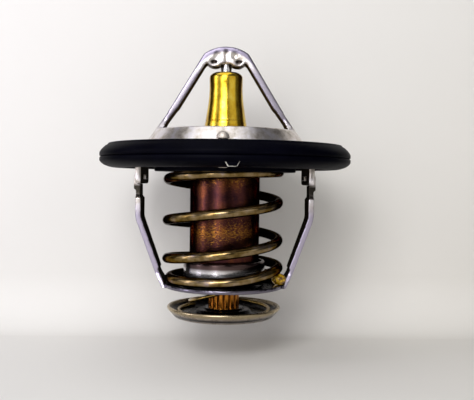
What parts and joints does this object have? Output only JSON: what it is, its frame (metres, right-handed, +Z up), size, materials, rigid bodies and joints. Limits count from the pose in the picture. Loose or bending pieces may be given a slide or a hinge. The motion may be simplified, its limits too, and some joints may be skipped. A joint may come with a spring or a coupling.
{
  "type": "engine thermostat",
  "caption": "Wax-element engine coolant thermostat with an arched upper frame, rubber rim gasket, sprung main valve and a bypass disc.",
  "frame": {"origin": "on the valve axis, in the plane where the two flange plates meet inside the rubber gasket", "axes": "+Z up the piston axis towards the crown, X through both arms of the frame, the jiggle valve at -Y"},
  "size_m": [0.056, 0.056, 0.0603],
  "materials": {
    "stamped_stainless": "pressed stainless sheet, satin",
    "polished_steel": "ground steel",
    "spring_wire": "oil-tempered wire with a straw tint",
    "dark_steel": "heat-tinted pressed steel",
    "brass": "turned brass",
    "bronze": "rolled bronze flutes",
    "copper": "drawn copper, browned",
    "black_rubber": "moulded rubber, satin black",
    "wax": "solid wax with metal powder"
  },
  "bodies": {
    "frame": {"upper_frame": "stamped_stainless", "seat_plate": "stamped_stainless", "gasket": "black_rubber", "lower_frame": "stamped_stainless", "piston": "polished_steel", "main_spring": "spring_wire", "jiggle_bush": "polished_steel"},
    "valve": {"guide": "brass", "guide_seal": "black_rubber", "capsule": "copper", "rubber_sleeve": "black_rubber", "backup_washer": "brass", "wax_charge": "wax", "valve_plate": "stamped_stainless", "valve_seal": "black_rubber", "valve_collar": "brass", "bypass_stem": "bronze", "bypass_spring": "spring_wire", "retaining_clip": "spring_wire"},
    "bypass_valve": {"bypass_disc": "dark_steel", "bypass_washer": "polished_steel"},
    "jiggle": {"jiggle_pin": "polished_steel", "jiggle_weight": "polished_steel"}
  },
  "joints": [
    {"name": "main_lift", "type": "slide", "parent": "frame", "child": "valve", "axis": [0, 0, -1], "range_m": [0, 0.0085], "stiffness_N_per_m": 2300, "springref_m": -0.015, "deforming": ["main_spring"]},
    {"name": "bypass_lift", "type": "slide", "parent": "valve", "child": "bypass_valve", "axis": [0, 0, 1], "range_m": [0, 0.004], "stiffness_N_per_m": 1200, "springref_m": -0.006, "deforming": ["bypass_spring"]},
    {"name": "jiggle_lift", "type": "slide", "parent": "frame", "child": "jiggle", "axis": [0, 0, 1], "range_m": [0, 0.0011]}
  ]
}
